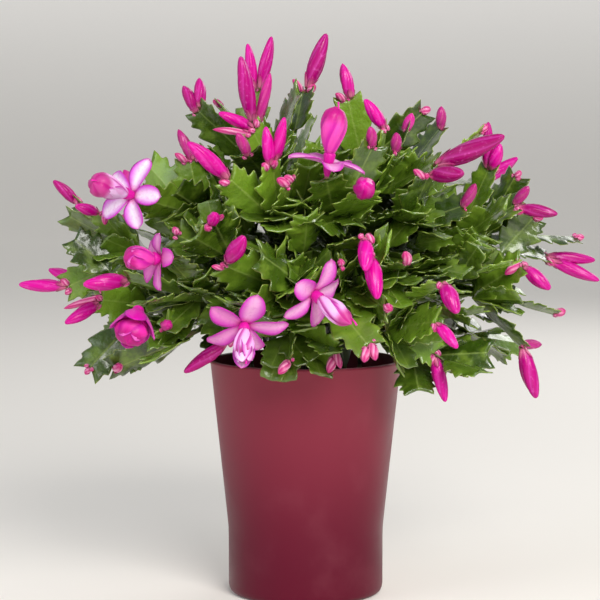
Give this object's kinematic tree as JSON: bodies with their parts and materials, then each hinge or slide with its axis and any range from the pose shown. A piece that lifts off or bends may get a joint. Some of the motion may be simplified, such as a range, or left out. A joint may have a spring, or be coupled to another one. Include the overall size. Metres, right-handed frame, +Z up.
{
  "type": "potted christmas cactus",
  "caption": "Potted christmas cactus with arching jointed flat stems, toothed blade edges, pointed buds and open layered flowers, in a tapered round pot filled with soil.",
  "frame": {"origin": "centre of the pot's flat underside, where it meets the table", "axes": "+Z up along the pot's axis, -Y towards the side of the plant that the picture shows, +X to that view's right"},
  "size_m": [0.408, 0.373, 0.391],
  "materials": {
    "pot_plastic": "plum satin",
    "peat_soil": "dark moist peat",
    "stem_green": "waxy green",
    "bloom_pink": "soft satin magenta"
  },
  "bodies": {
    "root": {"bud_7": "bloom_pink", "bud_8": "bloom_pink", "bud_9": "bloom_pink", "bud_10": "bloom_pink", "bud_11": "bloom_pink", "bud_12": "bloom_pink", "bud_13": "bloom_pink", "bud_14": "bloom_pink", "bud_15": "bloom_pink", "bud_16": "bloom_pink", "bud_17": "bloom_pink", "bud_18": "bloom_pink", "bud_19": "bloom_pink", "bud_20": "bloom_pink", "bud_21": "bloom_pink", "bud_22": "bloom_pink", "bud_23": "bloom_pink", "bud_24": "bloom_pink", "bud_25": "bloom_pink", "bud_26": "bloom_pink", "bud_27": "bloom_pink", "bud_28": "bloom_pink", "bud_29": "bloom_pink", "bud_30": "bloom_pink", "bud_31": "bloom_pink", "bud_32": "bloom_pink", "bud_33": "bloom_pink", "bud_34": "bloom_pink", "bud_35": "bloom_pink", "bud_36": "bloom_pink", "bud_37": "bloom_pink", "bud_39": "bloom_pink", "bud_40": "bloom_pink", "bud_41": "bloom_pink", "bud_42": "bloom_pink", "flower_1": "bloom_pink", "flower_2": "bloom_pink", "flower_3": "bloom_pink", "flower_4": "bloom_pink", "flower_5": "bloom_pink", "flower_6": "bloom_pink", "flower_38": "bloom_pink", "inner_stem_1": "stem_green", "inner_stem_2": "stem_green", "inner_stem_3": "stem_green", "inner_stem_4": "stem_green", "outer_stem_1": "stem_green", "outer_stem_2": "stem_green", "outer_stem_3": "stem_green", "outer_stem_4": "stem_green", "outer_stem_5": "stem_green", "outer_stem_6": "stem_green", "outer_stem_7": "stem_green", "outer_stem_8": "stem_green", "pot": "pot_plastic", "soil": "peat_soil"}
  },
  "joints": []
}
